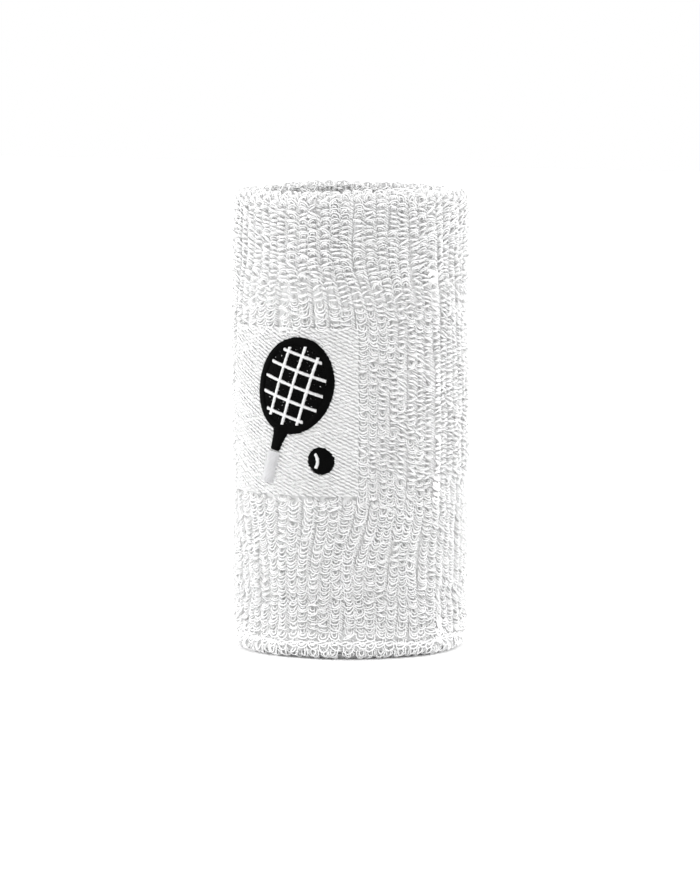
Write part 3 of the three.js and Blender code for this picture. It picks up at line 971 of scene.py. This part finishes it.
# closing seam: overlocked edges in the bore
seam = {"stitches": 64, "thread": 0.32, "beadHeight": 0.5, "needleGap": 1.24}
beadOuter = innerGround - band["pileDepth"] - 0.3
beadHalf = (seamHigh[2] - seamLow[2]) / 2
sectionTurn = np.linspace(0, 2 * np.pi, 13)[:-1]
sectionR = beadOuter - seam["beadHeight"] / 2 + seam["beadHeight"] / 2 * np.sin(sectionTurn)
sectionZ = seamZ + (beadHalf - 0.2) * np.cos(sectionTurn)
phiLine = np.linspace(0, 2 * np.pi, 2 * seam["stitches"] + 1)[:-1]
rGrid = sectionR[:, None] + 0.05 * np.sin(seam["stitches"] * phiLine)[None, :]
zGrid = sectionZ[:, None] + 0 * phiLine[None, :]
bead = aroundBand(phiLine[None, :] + 0 * zGrid, rGrid, zGrid)
bead = np.concatenate([bead, bead[:1]])
dress(sheetMesh("seam_edges", bead, closed=True), cloths["plain knit painted shade"], "seam_thread", "closing_seam_thread")

pitch = 2 * np.pi / seam["stitches"]
k = np.arange(seam["stitches"])[:, None]
x = np.linspace(0, 1, 9)[None, :]
over = beadOuter - seam["beadHeight"] - seam["thread"] * 0.4
phi1 = (k + 0.1 + 0.55 * x) * pitch
z1 = seamZ + beadHalf * 0.98 * np.cos(np.pi * x)
r1 = over + 0.45 * np.abs(np.cos(np.pi * x)) ** 3
phi2 = (k + 0.65 + 0.45 * x) * pitch
z2 = seamZ - beadHalf * 0.98 * np.cos(np.pi * x)
threads = np.concatenate([aroundBand(phi1, r1, z1), aroundBand(phi2, r1 - 0.12 * np.sin(np.pi * x), z2)])
piece = tubes("seam_overlock_threads", threads, seam["thread"] / 2, 5)
dress(piece, yarns["overlock"], "seam_thread", "closing_seam_thread")

phi = np.linspace(0, 2 * np.pi, seam["stitches"] * 4 + 1)
needleR = over - 0.12 + 0.14 * np.cos(seam["stitches"] * phi)
needles = [aroundBand(phi, needleR, seamZ + side * seam["needleGap"] / 2 + 0 * phi) for side in (-1, 1)]
piece = tubes("seam_needle_threads", np.array(needles), seam["thread"] / 2, 5)
dress(piece, yarns["overlock"], "seam_thread", "closing_seam_thread")
print("closing seam done")
# floor, light and camera
floorPaper = {"size": 6.0, "darkest": 0.95, "lightest": 0.97}  # the size is in metres
bpy.ops.mesh.primitive_plane_add(size=floorPaper["size"])
floor = bpy.context.object
floor.name = "floor"
material, nodes, links, shader = newMaterial("floor paper")
place = nodes.new("ShaderNodeTexCoord")
grain = noise(nodes, links, place.outputs["Object"], 400.0)
darkest, lightest = [shade([floorPaper[key]] * 3, 1) for key in ("darkest", "lightest")]
paper = ramp(nodes, links, grain, darkest, lightest)
links.new(paper, shader.inputs["Base Color"])
shader.inputs["Roughness"].default_value = 0.9
shader.inputs["Specular IOR Level"].default_value = 0.1
floor.data.materials.append(material)

view = {"azimuth": 34.7, "distance": 1220.0, "height": 167.0, "aim": 55.1, "lens": 195.1}
turn = math.radians(view["azimuth"])
camera = bpy.data.objects.new("camera", bpy.data.cameras.new("camera"))
bpy.context.collection.objects.link(camera)
back = view["distance"] * mm
camera.location = (back * math.sin(turn), -back * math.cos(turn), view["height"] * mm)
drop = math.atan2(view["height"] - view["aim"], view["distance"])
camera.rotation_euler = (math.pi / 2 - drop, 0, turn)
camera.data.lens = view["lens"]
camera.data.sensor_width = 36
bpy.context.scene.camera = camera

lights = {  # degrees round from the camera, degrees up, metres away, metres wide and tall, watts
    "left": (-104, 10, 0.9, 0.2, 0.6, 9.0),
    "right": (116, 10, 0.9, 0.2, 0.6, 6.2),
    "front": (24, 42, 1.3, 0.35, 0.35, 5.4),
}
studio = {"aim": 0.06, "overhead": 1.3, "overheadAngle": 0.5, "sky": 0.86, "backdrop": 1.0}
for name, (azimuth, elevation, distance, wide, tall, watts) in lights.items():
    lamp = bpy.data.lights.new(name, "AREA")
    lamp.shape = "RECTANGLE"
    lamp.size = wide
    lamp.size_y = tall
    lamp.energy = watts
    holder = bpy.data.objects.new(name, lamp)
    bpy.context.collection.objects.link(holder)
    side = turn + math.radians(azimuth)
    up = math.radians(elevation)
    holder.location = (distance * math.cos(up) * math.sin(side), -distance * math.cos(up) * math.cos(side),
                       studio["aim"] + distance * math.sin(up))
    holder.rotation_euler = (math.pi / 2 - up, 0, side)

overhead = bpy.data.objects.new("overhead", bpy.data.lights.new("overhead", "SUN"))
overhead.data.energy = studio["overhead"]
overhead.data.angle = studio["overheadAngle"]
bpy.context.collection.objects.link(overhead)

world = bpy.data.worlds.new("studio")
bpy.context.scene.world = world
world.use_nodes = True
nodes = world.node_tree.nodes
links = world.node_tree.links
sky = nodes["Background"]
sky.inputs["Color"].default_value = (1, 1, 1, 1)
sky.inputs["Strength"].default_value = studio["sky"]
backdrop = nodes.new("ShaderNodeBackground")  # what the camera sees behind the floor
backdrop.inputs["Color"].default_value = (1, 1, 1, 1)
backdrop.inputs["Strength"].default_value = studio["backdrop"]
mix = nodes.new("ShaderNodeMixShader")
ray = nodes.new("ShaderNodeLightPath")
links.new(ray.outputs["Is Camera Ray"], mix.inputs["Fac"])
links.new(sky.outputs["Background"], mix.inputs[1])
links.new(backdrop.outputs["Background"], mix.inputs[2])
links.new(mix.outputs["Shader"], nodes["World Output"].inputs["Surface"])
bpy.context.scene.view_settings.view_transform = "Standard"
bpy.context.scene.view_settings.look = "None"
print("floor, light and camera done")
